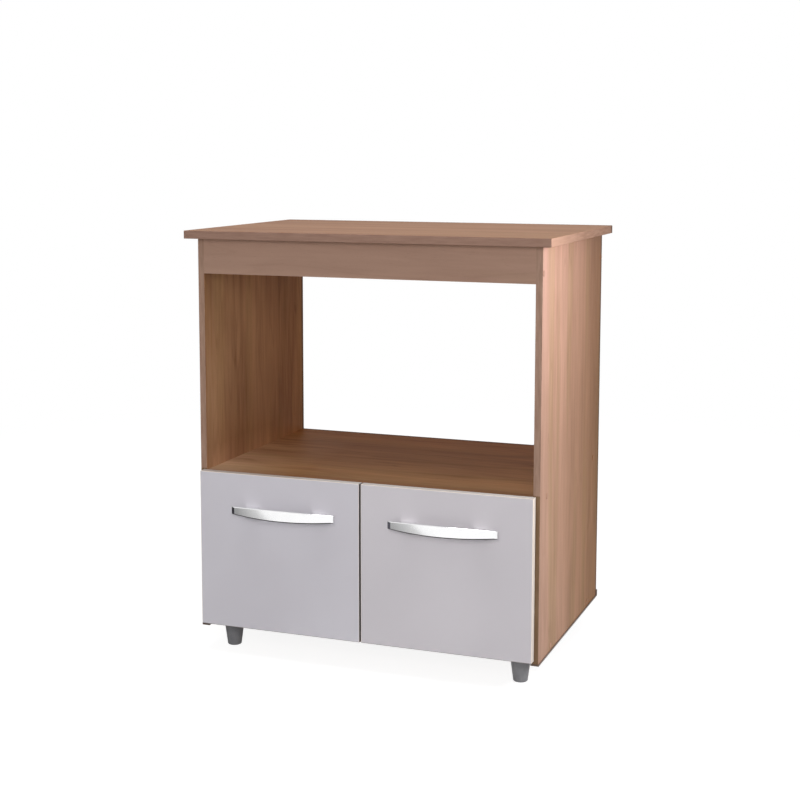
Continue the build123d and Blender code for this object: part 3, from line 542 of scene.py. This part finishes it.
# Each handle's faces turned left get their own painted reflection
for side, leftward in (("left", linear(98, 96, 104)), ("right", linear(150, 148, 160))):
    dress(metal(f"{side}_handle_chrome", linear(240, 240, 240), linear(237, 237, 238), rough=0.07, seed=1.0,
                grain=200.0, depth=POLISHED_TEXTURE, below=linear(36, 34, 34), leftward=leftward),
          f"{side}_handle")
dress(plastic("guard_brown", linear(112, 92, 78), linear(88, 70, 58), rough=0.45, seed=2.0),
      "left_edge_guard", "right_edge_guard")
dress(plastic("foot_grey", linear(145, 145, 148), linear(124, 124, 128), rough=0.5, seed=3.0,
              grain=500.0, depth=FOOT_TEXTURE),
      "front_left_foot", "front_right_foot", "rear_left_foot", "rear_right_foot")
# The screw caps sit on the right panel and carry its painted light and shade
dress(plastic("cap_brown", linear(206, 158, 134), linear(198, 150, 126), rough=0.5, seed=4.0,
              shades=RIGHT_SHADES, Specular_IOR_Level=0.1),
      "screw_caps")
dress(plastic("bracket_white", linear(236, 234, 228), linear(222, 220, 213), rough=0.38, seed=5.0),
      "corner_brackets")
dress(rubber(), "left_door_bumpers", "right_door_bumpers")
dress(timber(), "panel_dowels")
dress(hardboard(), "back_panel")
NICKEL = metal("nickel_plate", linear(216, 213, 206), linear(198, 195, 188), rough=0.3, seed=2.0, sheen=0.6)
ZINC = metal("zinc_plate", linear(210, 212, 214), linear(184, 186, 188), rough=0.34, seed=3.0, sheen=0.6)
HINGE_METAL = ("hinge_cups", "hinge_arms", "hinge_mounting_plates")
SCREW_NODES = ("handle_screws", "hinge_cup_screws", "hinge_arm_screws", "hinge_plate_screws")
for side in ("left", "right"):
    dress(NICKEL, *(f"{side}_{name}" for name in HINGE_METAL))
    dress(ZINC, *(f"{side}_{name}" for name in SCREW_NODES), f"{side}_hinge_pins")
dress(ZINC, "foot_screws", "carcass_screws", "bracket_screws", "back_panel_nails")


# Cross recesses in the screw heads: a shallow dome over each head, open where the driver goes in
DOME_RISE = 0.0005
DOME_SHOULDER = 0.00022
RECESS_FLOOR = 0.00004
ARM_REACH = 0.58
ARM_HALF_WIDTH = 0.15
DOME_RIM = 0.97
DOME_SHOULDER_RIM = 0.9
WELD_GAP = 0.00001
END_GAP = 0.0001


def loose_solids(node):
    """The separate solids of a node, each as a list of its points in the scene."""
    shape = bmesh.new()
    shape.from_mesh(node.data)
    bmesh.ops.remove_doubles(shape, verts=shape.verts, dist=WELD_GAP)
    seen, solids = set(), []
    for start in shape.verts:
        if start in seen:
            continue
        seen.add(start)
        reached = [start]
        for vertex in reached:
            for edge in vertex.link_edges:
                other = edge.other_vert(vertex)
                if other not in seen:
                    seen.add(other)
                    reached.append(other)
        solids.append([node.matrix_world @ vertex.co for vertex in reached])
    shape.free()
    return solids


def head_of(points):
    """Where a screw's head ends, which way it faces and its radius, from the points of the screw."""
    low = Vector(min(point[axis] for point in points) for axis in range(3))
    high = Vector(max(point[axis] for point in points) for axis in range(3))
    extent = high - low
    along = max(range(3), key=lambda axis: extent[axis])
    middle = (low + high) / 2
    ends = []
    for level, way in ((low[along], -1), (high[along], 1)):
        place = middle.copy()
        place[along] = level
        rim = [(point - place).length for point in points if abs(point[along] - level) < END_GAP]
        direction = Vector((0, 0, 0))
        direction[along] = way
        ends.append((max(rim), place, direction))
    radius, place, direction = max(ends, key=lambda end: end[0])
    return place, direction, radius


def recess_radius(angle):
    """Distance from the middle to the edge of a four-armed opening, as a share of the head's radius."""
    quarter = angle % (math.pi / 2)
    quarter = min(quarter, math.pi / 2 - quarter)
    if quarter <= math.atan2(ARM_HALF_WIDTH, ARM_REACH):
        return ARM_REACH / math.cos(quarter)
    return ARM_HALF_WIDTH / math.sin(quarter)


def screw_drives(name, body, screw_nodes):
    """One piece with the domes of all these nodes' screws. Each dome's rings go in from its rim to the edge
    of the cross, and then down to the bottom of the recess."""
    corner = math.atan2(ARM_HALF_WIDTH, ARM_REACH)
    steps = [0.0, corner, (corner + math.pi / 4) / 2, math.pi / 4]
    steps += [math.pi / 2 - step for step in reversed(steps[1:-1])]
    angles = [quarter * math.pi / 2 + step for quarter in range(4) for step in steps]
    shape = bmesh.new()
    for node_name in screw_nodes:
        for points in loose_solids(nodes[node_name]):
            place, direction, radius = head_of(points)
            turned = Matrix.Translation(place) @ direction.to_track_quat("Z", "Y").to_matrix().to_4x4()
            rings = []
            for share, rise in (
                (DOME_RIM, 0.0), (DOME_SHOULDER_RIM, DOME_SHOULDER), (None, DOME_RISE), (None, RECESS_FLOOR),
            ):
                ring = []
                for angle in angles:
                    reach = radius * (recess_radius(angle) if share is None else share)
                    ring.append(shape.verts.new(
                        turned @ Vector((reach * math.cos(angle), reach * math.sin(angle), rise))))
                rings.append(ring)
            for outer, inner in zip(rings, rings[1:]):
                for index in range(len(angles)):
                    after = (index + 1) % len(angles)
                    shape.faces.new((outer[index], outer[after], inner[after], inner[index]))
            shape.faces.new(rings[-1])
            shape.faces.new(list(reversed(rings[0])))
    mesh = bpy.data.meshes.new(name)
    shape.to_mesh(mesh)
    shape.free()
    mesh.materials.append(ZINC)
    piece = bpy.data.objects.new(name, mesh)
    bpy.context.scene.collection.objects.link(piece)
    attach(piece, body)


screw_drives("carcass_screw_drives", "carcass",
             ("bracket_screws", "left_hinge_plate_screws", "right_hinge_plate_screws"))
for side in ("left", "right"):
    screw_drives(f"{side}_door_screw_drives", f"{side}_door",
                 (f"{side}_hinge_cup_screws", f"{side}_handle_screws"))


# Floor and white surround. The camera, mirrors and glass see them bright, while the light that they throw on
# the cabinet is dimmer. Past FAR from the middle the floor is white as well.
FLOOR_HALF = 6.0
FLOOR_GAP = 0.0004
NEAR, FAR = 1.3, 2.6
FLOOR_GLOW = 0.88
AMBIENT = 0.33


def flat(name, left, front, right, back, height):
    """A level rectangle in the scene."""
    mesh = bpy.data.meshes.new(name)
    corners = [(left, front, height), (right, front, height), (right, back, height), (left, back, height)]
    mesh.from_pydata(corners, [], [(0, 1, 2, 3)])
    item = bpy.data.objects.new(name, mesh)
    bpy.context.scene.collection.objects.link(item)
    return item


def seen_directly(tree):
    """1 for rays from the camera, a mirror or glass, and 0 for the light that falls on things."""
    ray = tree.nodes.new("ShaderNodeLightPath")
    seen = ray.outputs["Is Camera Ray"]
    for kind in ("Is Glossy Ray", "Is Transmission Ray"):
        node = tree.nodes.new("ShaderNodeMath")
        node.operation = "MAXIMUM"
        tree.links.new(seen, node.inputs[0])
        tree.links.new(ray.outputs[kind], node.inputs[1])
        seen = node.outputs[0]
    return seen


floor = flat("floor", -FLOOR_HALF, -FLOOR_HALF, FLOOR_HALF, FLOOR_HALF, -FLOOR_GAP)
pale = Look("floor_pale", Roughness=0.9, Specular_IOR_Level=0.0)
seen = seen_directly(pale.tree)
tint = pale.noise(pale.place(), scale=30.0, detail=3.0)
pale.colour(pale.mix(
    seen,
    pale.tones(tint, linear(186, 186, 186), linear(192, 192, 192)),
    pale.tones(tint, linear(150, 150, 150), linear(156, 156, 156))))
both = pale.add("ShaderNodeAddShader")
pale.feed(both.inputs[0], pale.shader.outputs[0])
pale.feed(both.inputs[1], pale.glow(pale.maths("MULTIPLY", seen, FLOOR_GLOW)))
length = pale.add("ShaderNodeVectorMath", operation="LENGTH")
pale.feed(length.inputs[0], pale.where.outputs["Object"])
away = pale.spread(length.outputs["Value"], NEAR, FAR, smooth=True)
fade = pale.add("ShaderNodeMixShader")
pale.feed(fade.inputs[0], pale.maths("MULTIPLY", seen, away))
pale.feed(fade.inputs[1], both.outputs[0])
pale.feed(fade.inputs[2], pale.glow(seen))
pale.surface(fade.outputs[0])
floor.data.materials.append(pale.material)

# A grey card on the floor, left of the cabinet, that only mirrors see: the chrome's left thirds mirror it
CARD = (-2.4, -1.17, -0.2, 0.6)
CARD_HEIGHT = 0.002
CARD_DIM = (-1.17, -0.85, 0.72, 0.3)
card = flat("grey_card", *CARD, CARD_HEIGHT)
card.visible_camera = card.visible_diffuse = card.visible_shadow = card.visible_transmission = False
grey = Look("card_grey")
grey.surface(grey.glow(grey.spread(grey.parts(grey.where.outputs["Object"])[1], *CARD_DIM)))
card.data.materials.append(grey.material)

world = bpy.data.worlds.new("surround")
world.use_nodes = True
bpy.context.scene.world = world
sky = world.node_tree
level = sky.nodes.new("ShaderNodeMapRange")
level.inputs["To Min"].default_value = AMBIENT
level.inputs["To Max"].default_value = 1.0
sky.links.new(seen_directly(sky), level.inputs["Value"])
backdrop = sky.nodes["Background"]
backdrop.inputs["Color"].default_value = (1, 1, 1, 1)
sky.links.new(level.outputs["Result"], backdrop.inputs["Strength"])


def lamp(name, place, target, size, watts, spread=math.pi, glossy=True):
    """A round lamp that the camera doesn't see. spread is the angle of its cone, and glossy whether mirrors
    see it."""
    data = bpy.data.lights.new(name, "AREA")
    data.shape = "DISK"
    data.size = size
    data.energy = watts
    data.spread = spread
    item = bpy.data.objects.new(name, data)
    item.location = place
    item.rotation_euler = (Vector(target) - Vector(place)).to_track_quat("-Z", "Y").to_euler()
    item.visible_camera = False
    item.visible_glossy = glossy
    bpy.context.scene.collection.objects.link(item)


lamp("key", (1.5, -0.22, 0.98), (0.33, -0.42, 0.64), size=0.34, watts=3.85, spread=math.radians(90))
lamp("fill", (0.9, -3.4, 1.5), (0.0, 0.0, 0.4), size=1.6, watts=42.0)
lamp("top", (0.0, -0.32, 3.0), (0.0, 0.0, 0.8), size=1.6, watts=27.0)
lamp("rear", (-1.3, 3.0, 0.55), (0.0, 0.2, 0.4), size=1.2, watts=16.0, glossy=False)
